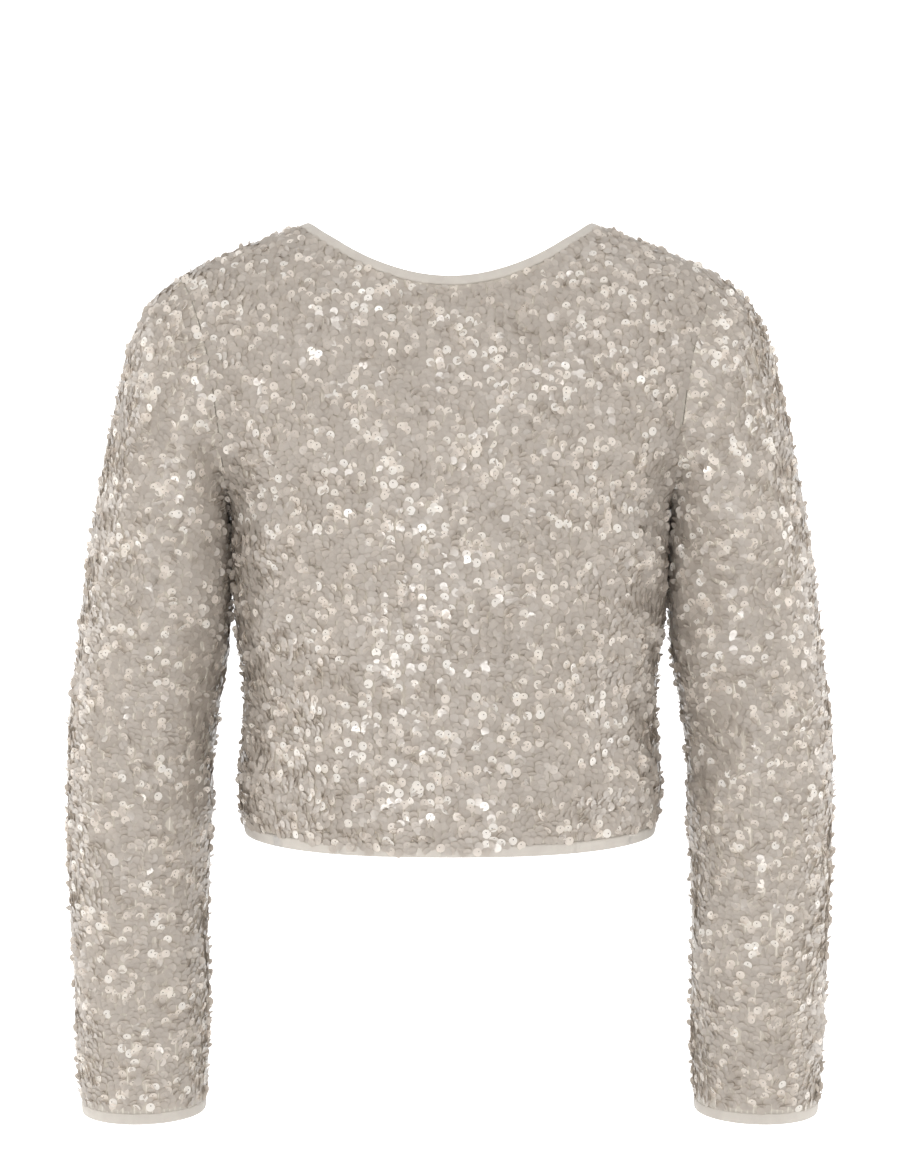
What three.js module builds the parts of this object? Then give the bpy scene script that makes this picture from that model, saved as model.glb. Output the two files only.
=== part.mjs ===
// A cropped long-sleeve top, standing as it is worn, with nothing inside it.
// Millimetres, +Z up. The front faces -Y and the wearer's left sleeve is at +X.
// The origin lies midway between the two shoulder seams, at the height of the neck points.
// Every height in the tables is a drop: the distance below the origin.

import * as THREE from 'three';

// Driving dimensions
const WALL = 1.6; // sequinned jersey, with the threads and knots behind it
const SEAM_GAP = 0.3; // between two pieces that are sewn together
const TURNING_GAP = 0.5; // the same along the armholes and neckline, where the seam turns
const NECK_HALF = 104.3; // half the neck opening, to where the binding starts
const NECK_DROP = 1.5; // top of the shoulder seam, at the neck
const FRONT_NECK_DEPTH = 48.5; // how far the front neckline falls below that
const BACK_NECK_DEPTH = 34;
const TIP_DROP = 38; // shoulder tip, where the sleeve head starts
const UNDERARM_DROP = 195;
const HEM_DROP = 420.8; // where the hem binding starts, at the centre of a panel
const HEM_SIDE_RISE = 4.5; // how much higher it starts at the side seams
const BODY_ROUNDNESS = 2.3; // exponent of the body's rounded cross section

const NECK_BINDING_WIDTH = 6.3;
const HEM_BINDING_WIDTH = 7.5;
const BINDING_THICKNESS = 3;
const BINDING_SQUARENESS = 0.6; // 1 is a round roll, and less is flatter with full edges

// How many faces each piece has
const NECK_COLUMNS = 7; // from the centre of a panel to its neck point
const SIDE_COLUMNS = 7; // from there to the armhole and the side seam
const ARMHOLE_ROWS = 10;
const SIDE_SEAM_ROWS = 10;
const FINE_STEPS = 60; // samples in each half of a row before it is evened out

const SEQUIN_CLOTH = new THREE.Color('#bcb3a8');
const BINDING_CLOTH = new THREE.Color('#d6cfc3');
const SEQUIN_ROUGHNESS = 0.45;
const BINDING_ROUGHNESS = 0.8;

// Level cross sections of the body: half its width, and its depth before and behind the side seams
const BODY_SECTIONS = [
  { drop: 0, half: 100, front: 22, back: 23 },
  { drop: 1.5, half: 104.3, front: 26, back: 28 },
  { drop: 10, half: 124.5, front: 36.5, back: 43 },
  { drop: 17, half: 144, front: 42.5, back: 51.5 },
  { drop: 24, half: 158.5, front: 47, back: 57 },
  { drop: 31, half: 174, front: 51.5, back: 62 },
  { drop: 38, half: 188, front: 56, back: 66 },
  { drop: 46, half: 198, front: 60.5, back: 70 },
  { drop: 60, half: 206, front: 68, back: 77 },
  { drop: 90, half: 208, front: 79, back: 87 },
  { drop: 120, half: 199, front: 88, back: 94 },
  { drop: 160, half: 176, front: 96, back: 99 },
  { drop: 195, half: 153, front: 101, back: 100 },
  { drop: 205, half: 151.6, front: 102, back: 99.5 },
  { drop: 230, half: 151, front: 103, back: 98.5 },
  { drop: 255, half: 150, front: 103.5, back: 97.5 },
  { drop: 276, half: 148.5, front: 104, back: 97 },
  { drop: 304, half: 144.3, front: 104.5, back: 96 },
  { drop: 332, half: 142.2, front: 105.5, back: 96 },
  { drop: 360, half: 143.5, front: 107, back: 97.5 },
  { drop: 388, half: 146, front: 108.5, back: 100 },
  { drop: 408, half: 144.5, front: 109, back: 101 },
  { drop: 424, half: 141.5, front: 108.5, back: 101 },
];

// The armhole seen from the front: how far out it lies at each height
const ARMHOLE_LINE = [
  { drop: 38, x: 188 },
  { drop: 50, x: 180 },
  { drop: 70, x: 171.5 },
  { drop: 95, x: 164 },
  { drop: 120, x: 159.5 },
  { drop: 150, x: 156 },
  { drop: 175, x: 153.9 },
  { drop: 195, x: 153 },
];

// Rings of the sleeve, from the sleeve head to the cuff. Each is an oval through a point on the
// arm's outer side and one on its inner side. bow moves its front and back towards the body.
const SLEEVE_SECTIONS = [
  { outerX: 202.5, outerDrop: 49, innerX: 155, innerDrop: 197, depth: 59, bow: 8.5 },
  { outerX: 213, outerDrop: 63, innerX: 155.4, innerDrop: 203, depth: 59.5, bow: 6.5 },
  { outerX: 223, outerDrop: 87, innerX: 154.2, innerDrop: 212, depth: 59.5, bow: 4.5 },
  { outerX: 230.5, outerDrop: 118, innerX: 153.1, innerDrop: 224, depth: 58.8, bow: 2.5 },
  { outerX: 238, outerDrop: 155, innerX: 152.6, innerDrop: 237, depth: 57.5, bow: 1 },
  { outerX: 246, outerDrop: 198, innerX: 152.6, innerDrop: 251, depth: 55.8, bow: 0 },
  { outerX: 252, outerDrop: 237, innerX: 153.8, innerDrop: 265, depth: 54.2, bow: 0 },
  { outerX: 256.5, outerDrop: 274, innerX: 155.2, innerDrop: 282, depth: 52.8, bow: 0 },
  { outerX: 259, outerDrop: 300, innerX: 156, innerDrop: 300, depth: 52, bow: 0 },
  { outerX: 262, outerDrop: 322, innerX: 159.5, innerDrop: 320, depth: 51.2, bow: 0 },
  { outerX: 265, outerDrop: 348, innerX: 164, innerDrop: 346, depth: 50.4, bow: 0 },
  { outerX: 266, outerDrop: 378, innerX: 167.2, innerDrop: 376, depth: 49.6, bow: 0 },
  { outerX: 265.8, outerDrop: 412, innerX: 167.4, innerDrop: 410, depth: 48.8, bow: 0 },
  { outerX: 265, outerDrop: 450, innerX: 169.6, innerDrop: 449, depth: 47.8, bow: 0 },
  { outerX: 263, outerDrop: 492, innerX: 170.6, innerDrop: 491, depth: 46.8, bow: 0 },
  { outerX: 261, outerDrop: 534, innerX: 169.8, innerDrop: 534, depth: 45.6, bow: 0 },
  { outerX: 259.5, outerDrop: 572, innerX: 170.2, innerDrop: 572, depth: 44.4, bow: 0 },
  { outerX: 256.6, outerDrop: 611, innerX: 171.6, innerDrop: 611, depth: 42.6, bow: 0 },
];

// Soft folds in the cloth: troughs have a negative height. Each runs straight between two points
// seen from the front, and fades out over its width. The x values are those of the left half.
const FOLDS = [
  { side: 'front', x1: 150, drop1: 214, x2: 100, drop2: 178, width: 13, height: -2.6 },
  { side: 'front', x1: 148, drop1: 240, x2: 92, drop2: 212, width: 12, height: 2 },
  { side: 'front', x1: 146, drop1: 262, x2: 98, drop2: 246, width: 11, height: -2 },
  { side: 'front', x1: 162, drop1: 96, x2: 157, drop2: 190, width: 11, height: -3 },
  { side: 'front', x1: 62, drop1: 250, x2: 78, drop2: 410, width: 17, height: 2.6 },
  { side: 'front', x1: 104, drop1: 300, x2: 112, drop2: 415, width: 13, height: -2.4 },
  { side: 'front', x1: 18, drop1: 300, x2: 24, drop2: 418, width: 15, height: -2 },
  { side: 'front', x1: 232, drop1: 330, x2: 172, drop2: 322, width: 9, height: -2.6 },
  { side: 'front', x1: 240, drop1: 352, x2: 178, drop2: 366, width: 9, height: -2.2 },
  { side: 'front', x1: 200, drop1: 215, x2: 214, drop2: 300, width: 14, height: 2 },
  { side: 'front', x1: 196, drop1: 420, x2: 206, drop2: 560, width: 12, height: -1.8 },
  { side: 'back', x1: 150, drop1: 216, x2: 104, drop2: 172, width: 13, height: -2.6 },
  { side: 'back', x1: 148, drop1: 246, x2: 96, drop2: 214, width: 13, height: 2.2 },
  { side: 'back', x1: 163, drop1: 92, x2: 158, drop2: 188, width: 12, height: -3 },
  { side: 'back', x1: 56, drop1: 262, x2: 70, drop2: 414, width: 17, height: 2.6 },
  { side: 'back', x1: 100, drop1: 290, x2: 108, drop2: 412, width: 14, height: -2.6 },
  { side: 'back', x1: 14, drop1: 240, x2: 20, drop2: 416, width: 16, height: -2 },
  { side: 'back', x1: 238, drop1: 336, x2: 182, drop2: 330, width: 9, height: -2.4 },
  { side: 'back', x1: 206, drop1: 230, x2: 216, drop2: 310, width: 13, height: 2 },
  { side: 'back', x1: 214, drop1: 410, x2: 222, drop2: 550, width: 12, height: -1.8 },
];

// A smooth curve through one column of a table of drops
function column(rows, name) {
  const drops = rows.map((row) => row.drop);
  const values = rows.map((row) => row[name]);
  const curve = new THREE.CubicInterpolant(drops, values, 1);
  return (drop) => curve.evaluate(drop)[0];
}

const bodyHalf = column(BODY_SECTIONS, 'half');
const bodyDepth = { front: column(BODY_SECTIONS, 'front'), back: column(BODY_SECTIONS, 'back') };
const armholeX = column(ARMHOLE_LINE, 'x');

// The body's surface at a point seen from the front, before its folds
function bodyPoint(side, x, drop) {
  const across = Math.min(1, Math.abs(x) / bodyHalf(drop));
  const share = (1 - across ** BODY_ROUNDNESS) ** (1 / BODY_ROUNDNESS);
  const y = bodyDepth[side](drop) * share * (side === 'front' ? -1 : 1);
  return new THREE.Vector3(x, y, -drop);
}

// A point of the neckline where the binding starts: turn is 0 at the centre and 1 at the neck point
function neckSpot(side, turn) {
  const angle = (turn * Math.PI) / 2;
  const depth = side === 'front' ? FRONT_NECK_DEPTH : BACK_NECK_DEPTH;
  return { x: NECK_HALF * Math.sin(angle), drop: NECK_DROP + depth * Math.cos(angle) ** 2 };
}

// The armhole round the left arm: 0 at the shoulder tip, half a turn at the underarm
function armholePoint(angle) {
  const middle = (TIP_DROP + UNDERARM_DROP) / 2;
  const reach = (UNDERARM_DROP - TIP_DROP) / 2;
  const drop = middle - reach * Math.cos(angle);
  const side = Math.sin(angle) >= 0 ? 'front' : 'back';
  return bodyPoint(side, Math.min(armholeX(drop), bodyHalf(drop)), drop);
}

// Where the sequinned cloth ends at the hem: across is 0 at the centre and 1 at the side seam
function hemDrop(across) {
  return HEM_DROP - HEM_SIDE_RISE * across ** 3;
}

// How far the folds lift the cloth at a point
function foldHeight(point, side) {
  const spot = new THREE.Vector3(Math.abs(point.x), 0, point.z);
  const nearest = new THREE.Vector3();
  let height = 0;
  for (const fold of FOLDS.filter((row) => row.side === side)) {
    const start = new THREE.Vector3(fold.x1, 0, -fold.drop1);
    const end = new THREE.Vector3(fold.x2, 0, -fold.drop2);
    new THREE.Line3(start, end).closestPointToPoint(spot, true, nearest);
    height += fold.height * Math.exp(-((nearest.distanceTo(spot) / fold.width) ** 2));
  }
  return height;
}

// Points at equal distances along a fine chain of points, both ends kept
function evenSteps(chain, steps) {
  const lengths = [0];
  for (let i = 1; i < chain.length; i++) {
    lengths.push(lengths[i - 1] + chain[i].distanceTo(chain[i - 1]));
  }
  const points = [];
  let link = 1;
  for (let step = 0; step <= steps; step++) {
    const wanted = (lengths[lengths.length - 1] * step) / steps;
    while (link < chain.length - 1 && lengths[link] < wanted) link++;
    const share = (wanted - lengths[link - 1]) / (lengths[link] - lengths[link - 1]);
    points.push(chain[link - 1].clone().lerp(chain[link], Math.min(1, share)));
  }
  return points;
}

// One row of a panel, from its centre line to its armhole or side seam, seen from the front.
// share is 0 at the neckline and shoulder seam and 1 at the hem.
function panelRow(side, share, edge) {
  const top = (s) => {
    if (s < 0.5) return neckSpot(side, 2 * s);
    const drop = NECK_DROP + (TIP_DROP - NECK_DROP) * (2 * s - 1);
    return { x: bodyHalf(drop), drop };
  };
  const neck = top(0);
  const tip = top(1);
  const hemHalf = bodyHalf(HEM_DROP);
  const centreDrop = THREE.MathUtils.lerp(neck.drop, hemDrop(0), share);
  const spot = (s) => {
    const high = top(s);
    const rest = 1 - share;
    const across = Math.sin((s * Math.PI) / 2);
    const x =
      rest * high.x + share * hemHalf * across + s * edge.x -
      s * rest * tip.x - s * share * hemHalf;
    const drop =
      rest * high.drop + share * hemDrop(across) + (1 - s) * centreDrop + s * edge.drop -
      (1 - s) * (rest * neck.drop + share * hemDrop(0)) - s * (rest * tip.drop + share * hemDrop(1));
    return bodyPoint(side, x, drop);
  };
  const steps = Array.from({ length: FINE_STEPS + 1 }, (_, i) => i / FINE_STEPS);
  const inner = steps.map((t) => spot(t / 2));
  // closer together at the side seam, where the surface turns towards the back
  const outer = steps.map((t) => spot(1 - (1 - t) ** 2 / 2));
  return [...evenSteps(inner, NECK_COLUMNS), ...evenSteps(outer, SIDE_COLUMNS).slice(1)];
}

// Where the side edge of a panel's row lies, with its share of the way from shoulder tip to hem
function panelEdges(side) {
  const edges = [];
  for (let row = 0; row <= ARMHOLE_ROWS; row++) {
    const angle = (row / ARMHOLE_ROWS) * Math.PI * (side === 'front' ? 1 : -1);
    const point = armholePoint(angle);
    edges.push({ x: point.x, drop: -point.z });
  }
  for (let row = 1; row <= SIDE_SEAM_ROWS; row++) {
    const drop = THREE.MathUtils.lerp(UNDERARM_DROP, hemDrop(1), row / SIDE_SEAM_ROWS);
    edges.push({ x: bodyHalf(drop), drop });
  }
  return edges.map((edge) => ({ ...edge, share: (edge.drop - TIP_DROP) / (hemDrop(1) - TIP_DROP) }));
}

// Normals of a grid of points. wrap joins the last column to the first.
function gridNormals(grid, wrap, sign) {
  const rows = grid.length;
  const columns = grid[0].length;
  return grid.map((line, r) =>
    line.map((_, c) => {
      const left = wrap ? line[(c + columns - 1) % columns] : line[Math.max(0, c - 1)];
      const right = wrap ? line[(c + 1) % columns] : line[Math.min(columns - 1, c + 1)];
      const up = grid[Math.max(0, r - 1)][c];
      const down = grid[Math.min(rows - 1, r + 1)][c];
      const across = right.clone().sub(left);
      const along = down.clone().sub(up);
      return across.cross(along).multiplyScalar(sign).normalize();
    }),
  );
}

// Two triangles for a four-sided face, split along its shorter diagonal
function addFace(index, points, [a, b, c, d]) {
  const split = points[a].distanceTo(points[c]) < points[b].distanceTo(points[d]);
  if (split) index.push(a, b, c, a, c, d);
  else index.push(a, b, d, b, c, d);
}

// A closed wall of cloth from its outer points and the vectors to its inner points.
// turned is true where the columns and rows run so that the outer faces would point inwards.
function clothWall(outer, inward, wrap, turned) {
  const rows = outer.length;
  const columns = outer[0].length;
  const points = [];
  outer.forEach((line) => line.forEach((point) => points.push(point)));
  outer.forEach((line, r) => line.forEach((point, c) => points.push(point.clone().add(inward[r][c]))));
  const inner = rows * columns;
  const at = (r, c) => r * columns + (c % columns);
  const index = [];
  const face = (a, b, c, d) => addFace(index, points, turned ? [a, d, c, b] : [a, b, c, d]);
  const lastColumn = wrap ? columns : columns - 1;
  for (let r = 0; r < rows - 1; r++) {
    for (let c = 0; c < lastColumn; c++) {
      face(at(r, c), at(r + 1, c), at(r + 1, c + 1), at(r, c + 1));
      face(inner + at(r, c), inner + at(r, c + 1), inner + at(r + 1, c + 1), inner + at(r + 1, c));
    }
  }
  for (let c = 0; c < lastColumn; c++) {
    face(at(0, c), at(0, c + 1), inner + at(0, c + 1), inner + at(0, c));
    const end = rows - 1;
    face(at(end, c), inner + at(end, c), inner + at(end, c + 1), at(end, c + 1));
  }
  if (!wrap) {
    for (let r = 0; r < rows - 1; r++) {
      const end = columns - 1;
      face(at(r, 0), inner + at(r, 0), inner + at(r + 1, 0), at(r + 1, 0));
      face(at(r, end), at(r + 1, end), inner + at(r + 1, end), inner + at(r, end));
    }
  }
  const geometry = new THREE.BufferGeometry().setFromPoints(points);
  geometry.setIndex(index);
  return geometry;
}

const garment = new THREE.Group();

const sequinCloth = new THREE.MeshStandardMaterial({ color: SEQUIN_CLOTH, roughness: SEQUIN_ROUGHNESS });
const bindingCloth = new THREE.MeshStandardMaterial({ color: BINDING_CLOTH, roughness: BINDING_ROUGHNESS });

function addPiece(name, geometry, material) {
  geometry.computeVertexNormals();
  const piece = new THREE.Mesh(geometry, material);
  piece.name = name;
  garment.add(piece);
}

// The rings of the left sleeve. The first is the armhole, and each has a point for every
// armhole row of the front and of the back panel.
const RING_POINTS = 2 * ARMHOLE_ROWS;

function ringAngle(k) {
  return (2 * Math.PI * k) / RING_POINTS;
}

function sleeveRing(section) {
  return Array.from({ length: RING_POINTS }, (_, k) => {
    const turn = Math.cos(ringAngle(k));
    const swing = Math.sin(ringAngle(k));
    const x =
      (section.outerX + section.innerX) / 2 + ((section.outerX - section.innerX) / 2) * turn -
      section.bow * swing ** 2;
    const drop =
      (section.outerDrop + section.innerDrop) / 2 + ((section.outerDrop - section.innerDrop) / 2) * turn;
    return new THREE.Vector3(x, -section.depth * swing, -drop);
  });
}

const armholeRing = Array.from({ length: RING_POINTS }, (_, k) => armholePoint(ringAngle(k)));
const sleeveSmooth = [armholeRing, ...SLEEVE_SECTIONS.map(sleeveRing)];
const sleeveNormals = gridNormals(sleeveSmooth, true, 1);

// The two panels, right edge to left edge, with their own outward normals
function panelGrid(side) {
  const half = panelEdges(side).map((edge) => panelRow(side, edge.share, edge));
  return half.map((line) => {
    const mirrored = line.slice(1).map((point) => new THREE.Vector3(-point.x, point.y, point.z));
    return [...mirrored.reverse(), ...line];
  });
}

const panelSmooth = { front: panelGrid('front'), back: panelGrid('back') };
const panelNormals = {
  front: gridNormals(panelSmooth.front, false, -1),
  back: gridNormals(panelSmooth.back, false, 1),
};

// Along the shoulder and side seams both panels face straight out of the seam
for (const side of ['front', 'back']) {
  const normals = panelNormals[side];
  const columns = normals[0].length;
  const flatten = (normal) => normal.setY(0).normalize();
  for (let c = 0; c < columns; c++) {
    if (Math.abs(c - (columns - 1) / 2) >= NECK_COLUMNS) flatten(normals[0][c]);
  }
  for (let r = ARMHOLE_ROWS; r < normals.length; r++) {
    flatten(normals[r][0]);
    flatten(normals[r][columns - 1]);
  }
}

// At the armhole the walls of panel and sleeve are mitred: both end on the line halfway
// between their normals, a little longer than the wall is thick.
const LONGEST_MITRE = 2;

function mitre(one, other) {
  const middle = one.clone().add(other).normalize();
  const slant = Math.max(1 / LONGEST_MITRE, middle.dot(one));
  return middle.multiplyScalar(-WALL / slant);
}

const armholeMitres = armholeRing.map((_, k) => {
  const side = k <= ARMHOLE_ROWS ? 'front' : 'back';
  const row = k <= ARMHOLE_ROWS ? k : RING_POINTS - k;
  const line = panelNormals[side][row];
  return mitre(line[line.length - 1], sleeveNormals[0][k]);
});

function foldedPoint(point, normal, side, share) {
  return point.clone().addScaledVector(normal, foldHeight(point, side) * share);
}

const mirror = (point) => new THREE.Vector3(-point.x, point.y, point.z);

// Folds fade out towards the edges of a piece, so that the seams stay together
function edgeFade(step, last, span) {
  return Math.min(1, Math.min(step, last - step) / span);
}

// Front and back. The side and shoulder edges stop half a seam gap short of the plane between them.
const panelOuter = {};
for (const side of ['front', 'back']) {
  const grid = panelSmooth[side];
  const normals = panelNormals[side];
  const rows = grid.length;
  const columns = grid[0].length;
  const away = side === 'front' ? -1 : 1;
  const outer = grid.map((line, r) =>
    line.map((point, c) => {
      const fade = edgeFade(r, rows - 1, 1) * edgeFade(c, columns - 1, 2);
      const folded = foldedPoint(point, normals[r][c], side, fade);
      folded.y = away * Math.max(SEAM_GAP / 2, away * folded.y);
      return folded;
    }),
  );
  const inward = normals.map((line) => line.map((normal) => normal.clone().multiplyScalar(-WALL)));
  for (let r = 0; r <= ARMHOLE_ROWS; r++) {
    const k = side === 'front' ? r : (RING_POINTS - r) % RING_POINTS;
    inward[r][columns - 1] = armholeMitres[k].clone();
    inward[r][0] = mirror(armholeMitres[k]);
  }
  addPiece(side, clothWall(outer, inward, false, side === 'back'), sequinCloth);
  panelOuter[side] = outer;
}

// Sleeves. The first ring stands a seam gap off the armhole.
const armholeAway = armholeRing.map((point, k) => {
  const before = armholeRing[(k + RING_POINTS - 1) % RING_POINTS];
  const after = armholeRing[(k + 1) % RING_POINTS];
  const out = after.clone().sub(before).cross(armholeMitres[k]).normalize();
  const towards = sleeveSmooth[1][k].clone().sub(point);
  return out.multiplyScalar(Math.sign(out.dot(towards)) * TURNING_GAP);
});
const sleeveOuter = sleeveSmooth.map((ring, r) =>
  ring.map((point, k) => {
    if (r === 0) return point.clone().add(armholeAway[k]);
    const side = Math.sin(ringAngle(k)) >= 0 ? 'front' : 'back';
    const fade = edgeFade(r, sleeveSmooth.length - 1, 2) * Math.abs(Math.sin(ringAngle(k)));
    return foldedPoint(point, sleeveNormals[r][k], side, fade);
  }),
);
const sleeveInward = sleeveNormals.map((ring, r) =>
  ring.map((normal, k) => (r === 0 ? armholeMitres[k].clone() : normal.clone().multiplyScalar(-WALL))),
);
const mirroredRings = (rings) => rings.map((ring) => ring.map(mirror));
addPiece('sleeve_left', clothWall(sleeveOuter, sleeveInward, true, true), sequinCloth);
const mirroredWall = clothWall(mirroredRings(sleeveOuter), mirroredRings(sleeveInward), true, false);
addPiece('sleeve_right', mirroredWall, sequinCloth);

// A rolled strip of plain cloth along a closed edge: a flattened round section at each point.
// edge holds the points, their outward normals and the way the strip leads on from the cloth.
// Looking the way the strip leads, the points run clockwise.
const BINDING_SIDES = 8;

function binding(edge, width, gap) {
  const sections = Array.from({ length: BINDING_SIDES }, (_, k) => {
    const angle = ((k + 0.5) / BINDING_SIDES) * 2 * Math.PI;
    const round = (value) => Math.sign(value) * Math.abs(value) ** BINDING_SQUARENESS;
    return edge.map(({ point, normal, lead }) => {
      const out = lead.clone().addScaledVector(normal, -lead.dot(normal)).normalize();
      const reach = round(Math.cos(angle)) / round(Math.cos(Math.PI / BINDING_SIDES));
      const along = gap + (width / 2) * (1 + reach);
      const thick = (BINDING_THICKNESS / 2) * round(Math.sin(angle)) - WALL / 2;
      return point.clone().addScaledVector(out, along).addScaledVector(normal, thick);
    });
  });
  const columns = edge.length;
  const points = sections.flat();
  const index = [];
  for (let s = 0; s < BINDING_SIDES; s++) {
    for (let c = 0; c < columns; c++) {
      const a = s * columns + c;
      const b = s * columns + ((c + 1) % columns);
      const d = ((s + 1) % BINDING_SIDES) * columns + c;
      const e = ((s + 1) % BINDING_SIDES) * columns + ((c + 1) % columns);
      addFace(index, points, [a, b, e, d]);
    }
  }
  const geometry = new THREE.BufferGeometry().setFromPoints(points);
  geometry.setIndex(index);
  return geometry;
}

// The outer points along one edge of both panels as one loop: the front from the right seam to
// the left one, then the back again. row is the edge and next the row beside it.
function panelLoop(row, next, firstColumn) {
  const last = panelOuter.front[0].length - 1 - firstColumn;
  const spot = (side, c) => {
    const point = panelOuter[side][row][c].clone();
    if (c === firstColumn || c === last) point.y = 0;
    const lead = point.clone().sub(panelOuter[side][next][c]);
    return { point, normal: panelNormals[side][row][c], lead };
  };
  const loop = [];
  for (let c = firstColumn; c <= last; c++) loop.push(spot('front', c));
  for (let c = last - 1; c > firstColumn; c--) loop.push(spot('back', c));
  return loop;
}

const hemRow = panelOuter.front.length - 1;
addPiece('hem_binding', binding(panelLoop(hemRow, hemRow - 1, 0), HEM_BINDING_WIDTH, SEAM_GAP), bindingCloth);

// The neck binding leans in towards the neck: its free edge is this much further in and up
const NECK_LEAN = { in: 5.8, up: 3.2, upAtCentre: 5.7, inAtCentre: 2.7 };
const neckLoop = panelLoop(0, 1, SIDE_COLUMNS).map(({ point, normal }) => {
  const sideways = Math.abs(point.x) / NECK_HALF;
  const ahead = Math.sqrt(Math.max(0, 1 - sideways ** 2));
  const lead = new THREE.Vector3(
    (-NECK_LEAN.in * point.x) / NECK_HALF,
    -Math.sign(point.y) * NECK_LEAN.inAtCentre * ahead,
    THREE.MathUtils.lerp(NECK_LEAN.up, NECK_LEAN.upAtCentre, ahead ** 2),
  );
  return { point, normal, lead };
});
addPiece('neck_binding', binding(neckLoop.reverse(), NECK_BINDING_WIDTH, TURNING_GAP), bindingCloth);

const cuffEdge = sleeveOuter[sleeveOuter.length - 1].map((point, k) => ({
  point,
  normal: sleeveNormals[sleeveNormals.length - 1][k],
  lead: new THREE.Vector3(0, 0, -1),
}));
const mirroredCuff = cuffEdge.map(({ point, normal, lead }) => ({
  point: mirror(point),
  normal: mirror(normal),
  lead,
}));
addPiece('cuff_binding_left', binding(cuffEdge.reverse(), HEM_BINDING_WIDTH, SEAM_GAP), bindingCloth);
addPiece('cuff_binding_right', binding(mirroredCuff, HEM_BINDING_WIDTH, SEAM_GAP), bindingCloth);

export default garment;
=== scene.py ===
# A cropped long-sleeve top in its worn form: greige stretch jersey sewn all over with small
# round pearl sequins, its neck, hem and cuffs bound with a narrow plain strip.
# Sizes are in millimetres and are turned to metres as each mesh is made.
import math

import bmesh
import bpy
import numpy as np
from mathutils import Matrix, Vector


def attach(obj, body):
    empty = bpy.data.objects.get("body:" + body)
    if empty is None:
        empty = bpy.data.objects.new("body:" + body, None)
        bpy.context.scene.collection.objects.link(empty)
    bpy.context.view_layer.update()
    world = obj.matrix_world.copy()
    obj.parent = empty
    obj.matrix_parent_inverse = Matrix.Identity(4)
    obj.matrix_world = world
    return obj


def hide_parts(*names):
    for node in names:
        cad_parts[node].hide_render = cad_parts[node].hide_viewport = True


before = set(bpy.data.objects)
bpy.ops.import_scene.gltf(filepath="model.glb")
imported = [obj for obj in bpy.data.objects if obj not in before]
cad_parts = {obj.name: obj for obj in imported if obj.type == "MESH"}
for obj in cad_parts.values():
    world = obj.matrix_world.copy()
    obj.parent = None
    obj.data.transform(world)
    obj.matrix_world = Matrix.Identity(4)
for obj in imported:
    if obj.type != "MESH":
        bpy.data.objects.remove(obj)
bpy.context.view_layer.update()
scene = bpy.context.scene

# The front and back panels.
# Each is one piece of thin stretch jersey, cut with a neckline, two sloping shoulders, two
# armholes and two side seams. Worn, it stands on the level oval sections given here.

NECK_HALF = 104.3
NECK_DROP = 1.5
NECK_DEPTH = {"front": 48.5, "back": 34.0}
TIP_DROP = 38.0
UNDERARM_DROP = 195.0
HEM_DROP = 420.8
HEM_SIDE_RISE = 4.5
HEM_HALF = 142  # half the body's width there
BODY_ROUNDNESS = 2.3
SIDES = {"front": -1, "back": 1}

# drop below the neck points, half width, depth in front of and behind the side seams
BODY_SECTIONS = np.array([
    (0, 100, 22, 23), (1.5, 104.3, 26, 28), (10, 124.5, 36.5, 43), (17, 144, 42.5, 51.5),
    (24, 158.5, 47, 57), (31, 174, 51.5, 62), (38, 188, 56, 66), (46, 198, 60.5, 70),
    (60, 206, 68, 77), (90, 208, 79, 87), (120, 199, 88, 94), (160, 176, 96, 99),
    (195, 153, 101, 100), (205, 151.6, 102, 99.5), (230, 151, 103, 98.5),
    (255, 150, 103.5, 97.5), (276, 148.5, 104, 97), (304, 144.3, 104.5, 96),
    (332, 142.2, 105.5, 96), (360, 143.5, 107, 97.5), (388, 146, 108.5, 100),
    (408, 144.5, 109, 101), (424, 141.5, 108.5, 101),
])
ARMHOLE_LINE = np.array([
    (38, 188), (50, 180), (70, 171.5), (95, 164), (120, 159.5), (150, 156), (175, 153.9), (195, 153),
])

# Soft folds: x and drop of both ends, width, height. The first rows fall on both halves alike.
FOLDS_BOTH = {
    "front": [
        (150, 214, 100, 178, 13, -2.6), (148, 240, 92, 212, 12, 2), (146, 262, 98, 246, 11, -2),
        (162, 96, 157, 190, 11, -3), (62, 250, 78, 410, 17, 2.6), (104, 300, 112, 415, 13, -2.4),
        (18, 300, 24, 418, 15, -2),
    ],
    "back": [
        (150, 216, 104, 172, 13, -2.6), (148, 246, 96, 214, 13, 2.2), (163, 92, 158, 188, 12, -3),
        (56, 262, 70, 414, 17, 2.6), (100, 290, 108, 412, 14, -2.6), (14, 240, 20, 416, 16, -2),
    ],
}
# Small creases that lie on one half only, as cloth never drapes alike on both.
FOLDS_SINGLE = {
    "front": [
        (-128, 150, -70, 118, 9, -1.3), (-138, 292, -84, 276, 8, -1.4), (-132, 318, -96, 330, 8, 1.2),
        (-44, 330, -58, 412, 9, -1.3), (-118, 352, -124, 414, 8, 1.4), (132, 168, 88, 140, 9, 1.2),
        (138, 300, 92, 290, 8, 1.3), (126, 330, 134, 408, 8, -1.4), (36, 346, 30, 416, 9, 1.3),
        (-22, 92, -10, 150, 14, -0.9), (50, 70, 96, 96, 12, -1), (-96, 62, -140, 84, 10, 1),
    ],
    "back": [
        (-130, 158, -78, 122, 9, -1.3), (-136, 300, -88, 284, 8, -1.4), (126, 150, 74, 128, 9, 1.2),
        (134, 282, 90, 296, 8, -1.3), (122, 342, 128, 412, 8, 1.4), (-40, 340, -52, 414, 9, -1.3),
        (-112, 350, -120, 412, 8, 1.3), (30, 96, 16, 168, 14, -0.9), (-60, 66, -104, 92, 12, -1),
    ],
}
FOLD_FADES = {"side": 16, "hem": 24, "neck": 16}  # the folds end this far from the panel's edges


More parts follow.
